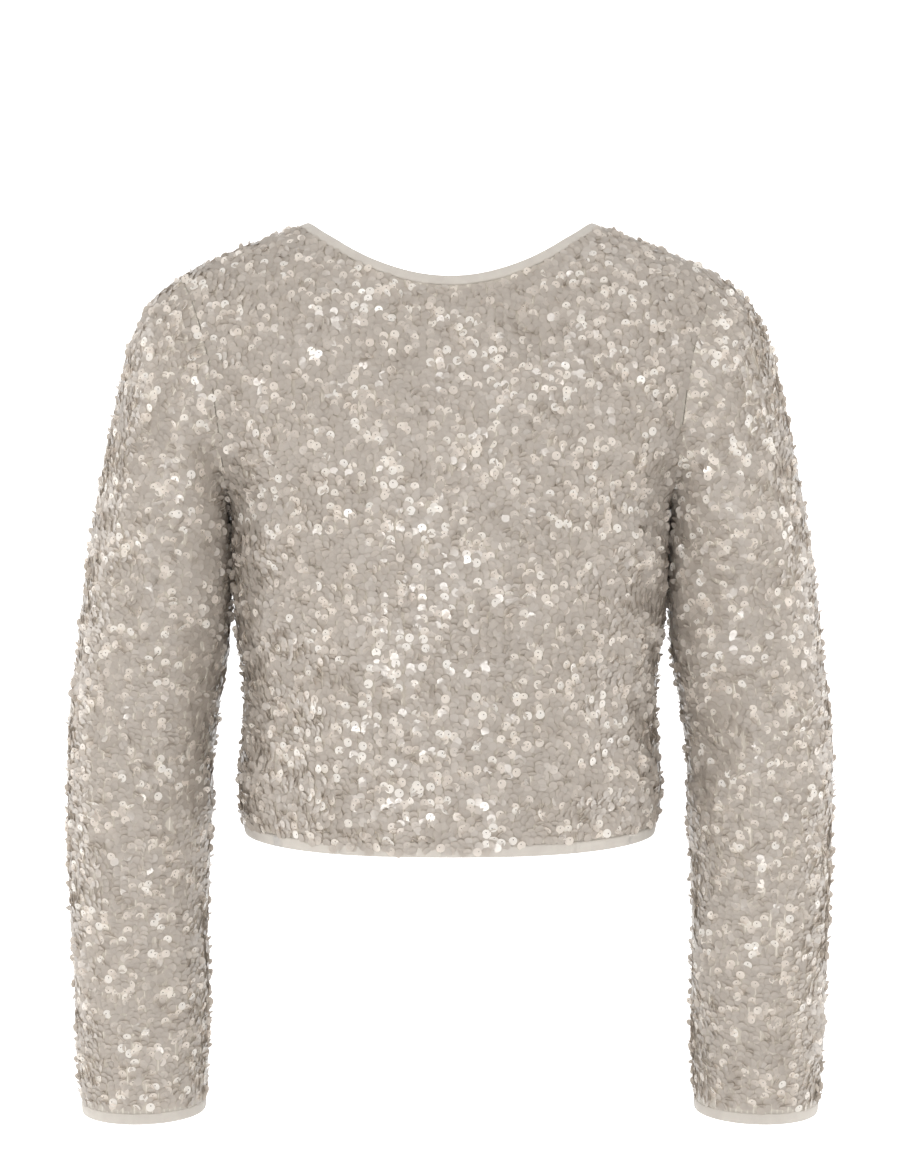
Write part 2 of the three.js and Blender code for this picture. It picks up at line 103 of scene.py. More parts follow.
def smooth_curve(rings, values, at):
    """A smooth curve through a table: values may hold a whole row of numbers for each ring."""
    slopes = np.diff(values, axis=0) / np.diff(rings).reshape((-1,) + (1,) * (values.ndim - 1))
    leans = np.concatenate([slopes[:1], (slopes[1:] + slopes[:-1]) / 2, slopes[-1:]])
    at = np.clip(at, rings[0], rings[-1])
    low = np.clip(np.searchsorted(rings, at, side="right") - 1, 0, len(rings) - 2)
    step = rings[low + 1] - rings[low]
    t = (at - rings[low]) / step
    if values.ndim > 1:
        t, step = (a.reshape((-1,) + (1,) * (values.ndim - 1)) for a in (t, step))
    return ((2 * t**3 - 3 * t**2 + 1) * values[low] + (t**3 - 2 * t**2 + t) * step * leans[low]
            + (3 * t**2 - 2 * t**3) * values[low + 1] + (t**3 - t**2) * step * leans[low + 1])


def body_sizes(side, drop):
    column = 2 if side == "front" else 3
    half = smooth_curve(BODY_SECTIONS[:, 0], BODY_SECTIONS[:, 1], drop)
    return half, smooth_curve(BODY_SECTIONS[:, 0], BODY_SECTIONS[:, column], drop)


def body_point(side, x, drop):
    half, depth = body_sizes(side, drop)
    across = np.minimum(1, np.abs(x) / half)
    y = SIDES[side] * depth * (1 - across**BODY_ROUNDNESS) ** (1 / BODY_ROUNDNESS)
    return np.stack([x, y, -drop], axis=-1)


def unit(vectors):
    return vectors / np.maximum(np.linalg.norm(vectors, axis=-1, keepdims=True), 1e-9)


def body_normal(side, x, drop):
    n = BODY_ROUNDNESS
    half, depth = body_sizes(side, drop)
    half_low, depth_low = body_sizes(side, drop + 0.5)
    half_high, depth_high = body_sizes(side, np.maximum(0, drop - 0.5))
    span = drop + 0.5 - np.maximum(0, drop - 0.5)
    across = np.minimum(1, np.abs(x) / half)
    deep = (1 - across**n) ** (1 / n)
    flare = across**n * (half_low - half_high) / span / half
    return unit(np.stack([
        np.sign(x) * across ** (n - 1) / half,
        SIDES[side] * deep ** (n - 1) / depth,
        flare + deep**n * (depth_low - depth_high) / span / depth,
    ], axis=-1))


def neck_drop(side, x):
    return NECK_DROP + NECK_DEPTH[side] * (1 - np.minimum(1, (x / NECK_HALF) ** 2))


def hem_drop(across):
    return HEM_DROP - HEM_SIDE_RISE * np.minimum(1, np.abs(across)) ** 3


def panel_half(drop):
    """How far out a panel reaches at each height: its armhole, or its shoulder or side seam."""
    half = smooth_curve(BODY_SECTIONS[:, 0], BODY_SECTIONS[:, 1], drop)
    armhole = smooth_curve(ARMHOLE_LINE[:, 0], ARMHOLE_LINE[:, 1], drop)
    return np.where((drop > TIP_DROP) & (drop < UNDERARM_DROP), np.minimum(armhole, half), half)


def crease_height(x, drop, folds):
    height = np.zeros_like(x)
    for x1, drop1, x2, drop2, width, rise in folds:
        run = np.array([x2 - x1, drop2 - drop1], dtype=float)
        share = np.clip(((x - x1) * run[0] + (drop - drop1) * run[1]) / (run @ run), 0, 1)
        away = np.hypot(x - x1 - share * run[0], drop - drop1 - share * run[1])
        height += rise * np.exp(-((away / width) ** 2))
    return height


def ease(share):
    share = np.clip(share, 0, 1)
    return share * share * (3 - 2 * share)


def panel_surface(side, x, drop):
    """Points of the worn panel, folds and all, with the way the cloth faces before its folds."""
    normal = body_normal(side, x, drop)
    height = crease_height(np.abs(x), drop, FOLDS_BOTH[side])
    height += crease_height(x, drop, FOLDS_SINGLE[side])
    height *= (ease((panel_half(drop) - np.abs(x)) / FOLD_FADES["side"])
               * ease((hem_drop(x / HEM_HALF) - drop) / FOLD_FADES["hem"]))
    height *= ease((drop - neck_drop(side, x)) / FOLD_FADES["neck"])
    return body_point(side, x, drop) + height[..., None] * normal, normal


def panel_spot(side, across, down):
    """x and drop of a point of the panel: across 0 to 1 from centre to edge, down 0 to 1."""
    def top(s):
        turn = np.minimum(s, 0.5) * math.pi
        slope = NECK_DROP + (TIP_DROP - NECK_DROP) * np.maximum(0, 2 * s - 1)
        x = np.where(s < 0.5, NECK_HALF * np.sin(turn), body_sizes(side, slope)[0])
        return x, np.where(s < 0.5, NECK_DROP + NECK_DEPTH[side] * np.cos(turn) ** 2, slope)

    s = np.where(across < 0.5, across, 1 - 2 * (1 - across) ** 2)
    middle, reach = (TIP_DROP + UNDERARM_DROP) / 2, (UNDERARM_DROP - TIP_DROP) / 2
    armhole = middle - reach * np.cos(np.minimum(1, 2 * down) * math.pi)
    seam = UNDERARM_DROP + (hem_drop(1) - UNDERARM_DROP) * np.maximum(0, 2 * down - 1)
    edge_drop = np.where(down < 0.5, armhole, seam)
    edge_x = panel_half(edge_drop)
    share = (edge_drop - TIP_DROP) / (hem_drop(1) - TIP_DROP)
    rest = 1 - share
    high_x, high_drop = top(s)
    tip_x, tip_drop = top(np.ones_like(s))
    neck = NECK_DROP + NECK_DEPTH[side]
    hem_half = body_sizes(side, np.full_like(s, HEM_DROP))[0]
    wide = np.sin(s * math.pi / 2)
    x = rest * high_x + share * hem_half * wide + s * edge_x - s * rest * tip_x - s * share * hem_half
    drop = (rest * high_drop + share * hem_drop(wide) + (1 - s) * (rest * neck + share * hem_drop(0))
            + s * edge_drop - (1 - s) * (rest * neck + share * hem_drop(0))
            - s * (rest * tip_drop + share * hem_drop(1)))
    return np.minimum(x, body_sizes(side, drop)[0]), drop


def srgb(code, alpha=1.0):
    """A colour from its sRGB hex code, in the linear values that shaders take."""
    parts = [int(code[i:i + 2], 16) / 255 for i in (1, 3, 5)]
    return [p / 12.92 if p <= 0.04045 else ((p + 0.055) / 1.055) ** 2.4 for p in parts] + [alpha]


def add_node(material, kind, settings=None, links=None):
    """Adds one shader node: settings by socket or property name, links as {input: output socket}.

    The stops of a colour ramp are a list of places and hex codes."""
    tree = material.node_tree
    node = tree.nodes.new(kind)
    for name, value in (settings or {}).items():
        if name == "stops":
            for _ in value[2:]:
                node.color_ramp.elements.new(0.5)
            for element, (position, code) in zip(node.color_ramp.elements, value):
                element.position = position
                element.color = srgb(code)
        elif name in node.inputs:
            node.inputs[name].default_value = value
        else:
            setattr(node, name, value)
    for name, output in (links or {}).items():
        tree.links.new(output, node.inputs[name])
    return node


# Ground cloth: polyamide and elastane single jersey, knitted fine and matt. It gives a soft
# dull beige behind the sequins, with knit ribs and, on the inside, rows of the sewing thread.
jersey = bpy.data.materials.new("knitted_stretch_jersey")
jersey.use_nodes = True
jersey.node_tree.nodes.clear()
cloth_place = add_node(jersey, "ShaderNodeUVMap", {"uv_map": "cloth"})
# a wave texture of scale 1 has a wave every 2 pi / 20 of a metre
WAVE_AT_ONE = 2 * math.pi / 20
# knit ribs every 1.1 mm, drawn coarser than the real 0.5 mm so that they show
knit_ribs = add_node(
    jersey, "ShaderNodeTexWave",
    {"Scale": WAVE_AT_ONE / 0.0011, "Distortion": 1.2, "Detail": 2.0, "Detail Scale": 2.0},
    {"Vector": cloth_place.outputs["UV"]})
# one row of sewing thread behind each line of sequins, 5 mm apart
thread_rows = add_node(
    jersey, "ShaderNodeTexWave",
    {"Scale": WAVE_AT_ONE / 0.005, "Distortion": 0.6, "Detail": 1.0, "Detail Scale": 6.0},
    {"Vector": cloth_place.outputs["UV"]})
thread_tone = add_node(
    jersey, "ShaderNodeValToRGB", {"stops": [(0.0, "#bfb7ab"), (0.86, "#c4bcb0"), (0.97, "#d9d2c7")]},
    {"Fac": thread_rows.outputs["Fac"]})
knit_bump = add_node(
    jersey, "ShaderNodeBump", {"Strength": 0.5, "Distance": 0.0004}, {"Height": knit_ribs.outputs["Fac"]})
cloth_shader = add_node(
    jersey, "ShaderNodeBsdfPrincipled", {"Roughness": 0.85, "Sheen Weight": 0.25, "Sheen Roughness": 0.5},
    {"Base Color": thread_tone.outputs["Color"], "Normal": knit_bump.outputs["Normal"]})
add_node(jersey, "ShaderNodeOutputMaterial", links={"Surface": cloth_shader.outputs["BSDF"]})

CLOTH_DEPTH = 0.8  # the jersey lies this far under the outer face that the sequins give
CLOTH_THICKNESS = 0.8
PANEL_FLAT = (0.41, 0.43)  # in metres, as each sheet was cut
PANEL_GRID = (76, 84)  # faces across and down


def cloth_piece(name, columns, rows, flat, shape, turned=False, closed=False):
    """A sheet from a grid: shape gives a place in mm for each across (-1 to 1) and down (0 to 1)."""
    bm = bmesh.new()
    bmesh.ops.create_grid(bm, x_segments=columns, y_segments=rows, size=1)
    grid = np.array([vert.co for vert in bm.verts])
    across, down = grid[:, 0], (1 - grid[:, 1]) / 2
    cloth_map = bm.loops.layers.uv.new("cloth")
    for face in bm.faces:
        face.smooth = True
        for loop in face.loops:
            x, y = loop.vert.co.x, loop.vert.co.y
            loop[cloth_map].uv = (x * flat[0] / 2, y * flat[1] / 2)
    for vert, point in zip(bm.verts, shape(across, down) / 1000):
        vert.co = point
    if closed:
        bmesh.ops.remove_doubles(bm, verts=bm.verts, dist=1e-5)
    if turned:
        bmesh.ops.reverse_faces(bm, faces=bm.faces)
    mesh = bpy.data.meshes.new(name)
    bm.to_mesh(mesh)
    bm.free()
    piece = bpy.data.objects.new(name, mesh)
    scene.collection.objects.link(piece)
    return piece


def jersey_sheet(piece):
    piece.data.materials.append(jersey)
    wall = piece.modifiers.new("thickness", "SOLIDIFY")
    wall.thickness = CLOTH_THICKNESS / 1000
    wall.offset = -1


for side in SIDES:
    def panel_shape(across, down):
        x, drop = panel_spot(side, np.abs(across), down)
        points, normal = panel_surface(side, np.copysign(x, across), drop)
        return points - CLOTH_DEPTH * normal

    panel = cloth_piece(side + "_cloth", *PANEL_GRID, PANEL_FLAT, panel_shape, side == "back")
    jersey_sheet(panel)
    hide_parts(side)
    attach(panel, "root")

# The sleeves.
# Each is one piece of the same jersey, closed by a seam under the arm and set into the armhole.
# The left one is shaped here and the right one is its mirror image, with creases of its own.

# outer point x and drop, inner point x and drop, depth from the middle, pull towards the body
SLEEVE_SECTIONS = np.array([
    (202.5, 49, 155, 197, 59, 8.5), (213, 63, 155.4, 203, 59.5, 6.5), (223, 87, 154.2, 212, 59.5, 4.5),
    (230.5, 118, 153.1, 224, 58.8, 2.5), (238, 155, 152.6, 237, 57.5, 1), (246, 198, 152.6, 251, 55.8, 0),
    (252, 237, 153.8, 265, 54.2, 0), (256.5, 274, 155.2, 282, 52.8, 0), (259, 300, 156, 300, 52, 0),
    (262, 322, 159.5, 320, 51.2, 0), (265, 348, 164, 346, 50.4, 0), (266, 378, 167.2, 376, 49.6, 0),
    (265.8, 412, 167.4, 410, 48.8, 0), (265, 450, 169.6, 449, 47.8, 0), (263, 492, 170.6, 491, 46.8, 0),
    (261, 534, 169.8, 534, 45.6, 0), (259.5, 572, 170.2, 572, 44.4, 0), (256.6, 611, 171.6, 611, 42.6, 0),
])
SLEEVE_FOLDS = {
    "front": [
        (232, 330, 172, 322, 9, -2.6), (240, 352, 178, 366, 9, -2.2), (200, 215, 214, 300, 14, 2),
        (196, 420, 206, 560, 12, -1.8),
    ],
    "back": [
        (238, 336, 182, 330, 9, -2.4), (206, 230, 216, 310, 13, 2), (214, 410, 222, 550, 12, -1.8),
    ],
}
SLEEVE_CREASES = {
    "left": {
        "front": [
            (246, 300, 200, 288, 7, -1.6), (236, 392, 190, 402, 8, -1.4), (176, 250, 214, 238, 8, -1.5),
            (172, 300, 206, 306, 7, 1.4), (226, 440, 232, 520, 8, 1.4), (190, 560, 236, 580, 8, -1.2),
            (196, 120, 214, 190, 9, -1.3),
        ],
        "back": [
            (244, 308, 204, 300, 7, -1.5), (232, 380, 192, 388, 8, -1.4), (178, 258, 212, 246, 8, 1.3),
            (190, 450, 196, 530, 8, 1.4), (230, 570, 196, 586, 8, -1.2), (194, 124, 212, 196, 9, -1.3),
        ],
    },
    "right": {
        "front": [
            (244, 316, 206, 306, 7, -1.5), (230, 376, 186, 386, 8, -1.5), (174, 262, 208, 252, 8, -1.4),
            (176, 284, 204, 280, 7, 1.3), (182, 470, 188, 540, 8, 1.4), (238, 540, 200, 556, 8, -1.2),
            (200, 110, 220, 176, 9, 1.3), (244, 420, 216, 432, 8, -1.2),
        ],
        "back": [
            (240, 296, 200, 306, 7, -1.5), (236, 396, 196, 400, 8, -1.3), (176, 266, 210, 258, 8, 1.3),
            (234, 450, 228, 520, 8, 1.4), (190, 574, 232, 590, 8, -1.2), (198, 130, 218, 200, 9, -1.3),
        ],
    },
}
SLEEVE_TURNS = 240  # fine points round each ring, used to lay both the cloth and the sequins
SLEEVE_STEPS = 600
SLEEVE_RINGS = len(SLEEVE_SECTIONS)
SLEEVE_FLAT = (0.33, 0.60)
SLEEVE_GRID = (60, 110)

ring_angles = np.linspace(-math.pi, math.pi, SLEEVE_TURNS + 1)


def armhole_ring(angles):
    middle, reach = (TIP_DROP + UNDERARM_DROP) / 2, (UNDERARM_DROP - TIP_DROP) / 2
    drop = middle - reach * np.cos(angles)
    x = panel_half(drop + 1e-6)
    fronts, backs = body_point("front", x, drop), body_point("back", x, drop)
    return np.where((np.sin(angles) >= 0)[:, None], fronts, backs)


def sleeve_ring(section, angles):
    outer_x, outer_drop, inner_x, inner_drop, depth, bow = section
    turn, swing = np.cos(angles), np.sin(angles)
    x = (outer_x + inner_x) / 2 + (outer_x - inner_x) / 2 * turn - bow * swing**2
    drop = (outer_drop + inner_drop) / 2 + (outer_drop - inner_drop) / 2 * turn
    return np.stack([x, -depth * swing, -drop], axis=-1)


def grid_normals(points, closed):
    """Which way a grid of points faces, from its neighbours; closed grids repeat their first column."""
    down = np.gradient(points, axis=0)
    if closed:
        ring = points[:, :-1]
        around = np.roll(ring, -1, axis=1) - np.roll(ring, 1, axis=1)
        around = np.concatenate([around, around[:, :1]], axis=1)
    else:
        around = np.gradient(points, axis=1)
    return unit(np.cross(around, down))


def sleeve_surface(arm):
    """A fine grid of points of the left sleeve, or of the right one mirrored onto it."""
    rings = [armhole_ring(ring_angles)] + [sleeve_ring(row, ring_angles) for row in SLEEVE_SECTIONS]
    fine = np.linspace(0, SLEEVE_RINGS, SLEEVE_STEPS + 1)
    points = smooth_curve(np.arange(SLEEVE_RINGS + 1.0), np.stack(rings), fine)
    normals = grid_normals(points, True)
    height = np.zeros(points.shape[:2])
    for side, sign in SIDES.items():
        folds = SLEEVE_FOLDS[side] + SLEEVE_CREASES[arm][side]
        here = crease_height(points[..., 0], -points[..., 2], folds)
        height += np.where(np.sin(ring_angles) * -sign > 0, here, 0)
    # folds end at the sleeve's outer and inner lines, at the armhole and at the cuff
    height *= np.sqrt(np.abs(np.sin(ring_angles))) * ease(fine / 2)[:, None]
    height *= ease((SLEEVE_RINGS - fine) / 1.2)[:, None]
    return points + height[..., None] * normals, normals


def look_up(grid, row, column):
    """Values of a fine grid between its points."""
    row = np.clip(row, 0, grid.shape[0] - 1.0001)
    column = np.clip(column, 0, grid.shape[1] - 1.0001)
    r, c = row.astype(int), column.astype(int)
    fr, fc = (row - r)[:, None], (column - c)[:, None]
    return ((grid[r, c] * (1 - fc) + grid[r, c + 1] * fc) * (1 - fr)
            + (grid[r + 1, c] * (1 - fc) + grid[r + 1, c + 1] * fc) * fr)


ARMS = {"left": 1, "right": -1}
sleeve_fine = {}
for arm, way in ARMS.items():
    fine_points, fine_normals = sleeve_surface(arm)
    sleeve_fine[arm] = fine_points

    def sleeve_shape(across, down):
        row, column = down * SLEEVE_STEPS, (across + 1) / 2 * SLEEVE_TURNS
        points = look_up(fine_points - CLOTH_DEPTH * fine_normals, row, column)
        points[:, 0] *= way
        return points

    sleeve = cloth_piece(f"sleeve_{arm}_cloth", *SLEEVE_GRID, SLEEVE_FLAT, sleeve_shape,
                         turned=arm == "right", closed=True)
    jersey_sheet(sleeve)
    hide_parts(f"sleeve_{arm}")
    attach(sleeve, "root")

# The sequins.
# Flat round 6 mm discs of pearl polyester film, each held by a thread through its hole. They are
# sewn in lines down the cloth and overlap all round, so that some edges stand up.
SEQUIN_RADIUS = 3.0
SEQUIN_HOLE = 0.5
HOLE_SHIFT = 1.0  # the hole lies towards the upper edge
LINE_SPACING = 5.0
LINES_EACH_WAY = 60  # more than the widest piece has on either side of its middle
SEQUIN_STEP = 3.3
STEP_SHARES = (0.93, 1.07)  # some lines are sewn a little closer, and some wider
FIRST_STITCH, LAST_STITCH = 1.2, 0.6  # from the two ends of a line
STITCH_SPREAD = 0.5
SIDE_SLIP = 1.15  # the loose thread lets each disc slip sideways, as a spread and at most
SIDE_SLIP_LIMIT = 2.2
# how far a disc is turned in its own plane, in radians: over large areas, in patches, by itself,
# and where it is loose
BRUSHED_SIZE, BRUSHED_TURN = 70, 0.45
PATCH_SIZE, PATCH_TURN = 26, 0.9
TURN_SPREAD = 0.38
LOOSE_SHARE, LOOSE_TURN = 0.13, 2.4
LIFT_DEGREES = (11, 5)  # how far the upper edge stands up, as a mean and a spread
ROLL_SPREAD = 3.5
STANDING_SHARE, STANDING_DEGREES = 0.15, (12, 55)  # strays that stand up further
ROLLED_SHARES, ROLLED_DEGREES = (0.08, 0.19), 50  # strays rolled to one side, some raised too
STAND_OFF = 0.1
LIFTED_STAND = 0.3  # a lifted disc stands off further, by this share of its raised edge
STACK_HEIGHT = 0.7  # discs lie under and over each other
ON_TOP_HEIGHT = 0.4
# chances of lying on top, for discs painted near white as flashes and for those painted lighter as glints
ON_TOP_CHANCE = {"painted_flash": 0.75, "light": 0.2}
BEND_SPREAD = 0.008
SIZE_SPREAD = 0.015
QUIET_TONE = (0.22, 0.015)  # the tone that blends into the cloth, as a mean and a spread
# sequins painted lighter, as glints: the chance above which a disc has this tone, from its lowest to its
# highest
PAINTED_GLINT_TONES = [(0.75, 0.27, 0.4), (0.85, 0.44, 0.68), (0.957, 0.70, 0.88), (0.984, 0.93, 1.0)]
TONE_FIELDS = 8  # across and down the map that keeps one field for each tone
LAST_TONE = TONE_FIELDS**2 - 1
DISC_IN_FIELD = 8.0  # millimetres of disc that a field takes across
NECK_CLEARANCE = 2.9  # the highest sequins start this far below the edge of the neck
LOWEST_LIFT = 0.8  # the lowest ones lie this far out, on the binding's upper edge
ARMHOLE_CLEARANCE = 0.7
SEAM_CLEARANCE = 0.005  # at the shoulder and side seams
# over the binding the sequins hang down this far left of the middle, and elsewhere end above it
OVERHANG = {"front": 6.8, "back": 1.5}
OVERHANG_MIDDLE, OVERHANG_REACH = -26, 66
HEM_CLEARANCE = 0.6
SLEEVE_HEAD_CLEARANCE = 0.6
CUFF_CLEARANCE = 0.4

# Sequin film: polyester film, punched, with a pearl lacquer. It is satin with a clear gloss. Its own
# colour is the quiet greige; the lighter to near-white tones that some discs take at random are painted
# glints, painted in place of light caught by discs turned to the lamps.
pearl_film = bpy.data.materials.new("pearl_film_with_painted_glints")
pearl_film.use_nodes = True
pearl_film.node_tree.nodes.clear()
disc_tone_and_glint_value = add_node(pearl_film, "ShaderNodeAttribute", {"attribute_name": "tone"})
# the stops above the quiet greige paint glints: light to near-white film in place of light caught from
# the lamps
film_colour_and_painted_glint = add_node(
    pearl_film, "ShaderNodeValToRGB",
    {"stops": [(0.0, "#b8aea5"), (0.22, "#cac1b7"), (0.55, "#f3eae0"), (0.8, "#fcf6ed"),
               (1.0, "#fffbf5")]},
    {"Fac": disc_tone_and_glint_value.outputs["Fac"]})
film_shader = add_node(
    pearl_film, "ShaderNodeBsdfPrincipled",
    {"Roughness": 0.4, "IOR": 1.5, "Coat Weight": 1.0, "Coat Roughness": 0.14},
    {"Base Color": film_colour_and_painted_glint.outputs["Color"]})
# the film is thin enough for light to come through from behind
see_through = add_node(
    pearl_film, "ShaderNodeBsdfTranslucent", links={"Color": film_colour_and_painted_glint.outputs["Color"]})
film_mix = add_node(
    pearl_film, "ShaderNodeMixShader", {"Fac": 0.4},
    {1: film_shader.outputs["BSDF"], 2: see_through.outputs["BSDF"]})
add_node(pearl_film, "ShaderNodeOutputMaterial", links={"Surface": film_mix.outputs["Shader"]})

# Thread hole: the knot of greige polyester sewing thread, dull, on a face that closes the hole. Its
# darkness is painted shade of the hole, deeper on the discs painted lighter.
thread_hole = bpy.data.materials.new("sewing_thread_and_painted_hole_shade")
thread_hole.use_nodes = True
thread_hole.node_tree.nodes.clear()
hole_value = add_node(thread_hole, "ShaderNodeAttribute", {"attribute_name": "tone"})
hole_thread_and_painted_shade = add_node(
    thread_hole, "ShaderNodeValToRGB",
    {"stops": [(0.32, "#c6bfb5"), (0.5, "#8f877c"), (0.8, "#6b645a")]},
    {"Fac": hole_value.outputs["Fac"]})
thread_shader = add_node(
    thread_hole, "ShaderNodeBsdfPrincipled", {"Roughness": 0.9},
    {"Base Color": hole_thread_and_painted_shade.outputs["Color"]})
add_node(thread_hole, "ShaderNodeOutputMaterial", links={"Surface": thread_shader.outputs["BSDF"]})

luck = np.random.default_rng(4127)


def one_sequin():
    """A thin disc with its thread hole, as points and faces; the last face closes the hole and carries
    its painted shade.
    """
    bm = bmesh.new()
    bmesh.ops.create_circle(bm, segments=12, radius=SEQUIN_RADIUS)
    hole = bmesh.ops.create_circle(bm, segments=4, radius=SEQUIN_HOLE)["verts"]
    bmesh.ops.translate(bm, verts=hole, vec=(0, HOLE_SHIFT, 0))
    bmesh.ops.bridge_loops(bm, edges=bm.edges[:])
    hole_edges = [edge for edge in bm.edges if edge.is_boundary and set(edge.verts) <= set(hole)]
    hole_faces = bmesh.ops.edgeloop_fill(bm, edges=hole_edges)["faces"]
    bmesh.ops.recalc_face_normals(bm, faces=bm.faces)
    if sum(face.normal.z for face in bm.faces) < 0:
        bmesh.ops.reverse_faces(bm, faces=bm.faces)
    bm.verts.index_update()
    film_faces = [face for face in bm.faces if face not in hole_faces]
    faces = [[vert.index for vert in face.verts] for face in film_faces + hole_faces]
    points = np.array([vert.co for vert in bm.verts])
    bm.free()
    return points, faces


disc, disc_faces = one_sequin()


def slow_noise(points, size, seed):
    """A soft random field over the cloth, about -1 to 1, that changes over size mm."""
    waves = np.random.default_rng(seed)
    total = np.zeros(len(points))
    for _ in range(10):
        way = waves.normal(size=3)
        way *= 2 * math.pi / size * waves.uniform(0.5, 1.3) / np.linalg.norm(way)
        total += np.sin(points @ way + waves.uniform(0, 2 * math.pi))
    return total / 2.4


def sequin_places(points, normals, inside):
    """Walks down each line of the cloth and stops at every stitch.

    points and normals are grids of levels by columns, with the line's own zero in the middle
    column. inside says where the cloth is. Gives the place, the way it faces and the way down."""
    lengths = np.linalg.norm(np.diff(points, axis=1), axis=-1)
    arc = np.concatenate([np.zeros((len(points), 1)), np.cumsum(lengths, axis=1)], axis=1)
    arc -= arc[:, points.shape[1] // 2][:, None]
    lines = (np.arange(-LINES_EACH_WAY, LINES_EACH_WAY + 1) + 0.5) * LINE_SPACING
    channels = np.concatenate([points, normals, inside[..., None]], axis=-1)
    laid = np.stack([
        np.stack([np.interp(lines, arc[level], channels[level, :, k], left=0, right=0)
                  for k in range(channels.shape[-1])], -1)
        for level in range(len(points))
    ])
    places, facings, ways = [], [], []
    for line in range(len(lines)):
        path = laid[:, line]
        kept = path[:, 6] > 0.5
        starts = np.flatnonzero(kept & ~np.concatenate([[False], kept[:-1]]))
        ends = np.flatnonzero(kept & ~np.concatenate([kept[1:], [False]]))
        for start, end in zip(starts, ends):
            run = path[start:end + 1]
            if len(run) < 3:
                continue
            walked = np.linalg.norm(np.diff(run[:, :3], axis=0), axis=1)
            walked = np.concatenate([[0], np.cumsum(walked)])
            step = SEQUIN_STEP * luck.uniform(*STEP_SHARES)
            stops = np.arange(FIRST_STITCH + luck.uniform(0, 0.8), walked[-1] - LAST_STITCH, step)
            stops = np.clip(stops + luck.normal(0, STITCH_SPREAD, len(stops)), 0.8, walked[-1])
            here = np.stack([np.interp(stops, walked, run[:, k]) for k in range(6)], -1)
            ahead = np.stack([np.interp(stops + 2, walked, run[:, k]) for k in range(3)], -1)
            behind = np.stack([np.interp(stops - 2, walked, run[:, k]) for k in range(3)], -1)
            facing, way = unit(here[:, 3:]), unit(ahead - behind + 1e-9)
            slip = np.clip(luck.normal(0, SIDE_SLIP, len(stops)), -SIDE_SLIP_LIMIT, SIDE_SLIP_LIMIT)
            places.append(here[:, :3] + unit(np.cross(facing, way)) * slip[:, None])
            facings.append(facing)
            ways.append(way)
    return np.concatenate(places), np.concatenate(facings), np.concatenate(ways)


def turn_about(axis, angle):
    """Rotation matrices about one of the sequin's own axes, 0 to 2."""
    c, s = np.cos(angle), np.sin(angle)
    turn = np.zeros((len(angle), 3, 3))
    one, two = (axis + 1) % 3, (axis + 2) % 3
    turn[:, axis, axis] = 1
    turn[:, one, one] = turn[:, two, two] = c
    turn[:, one, two], turn[:, two, one] = -s, s
    return turn


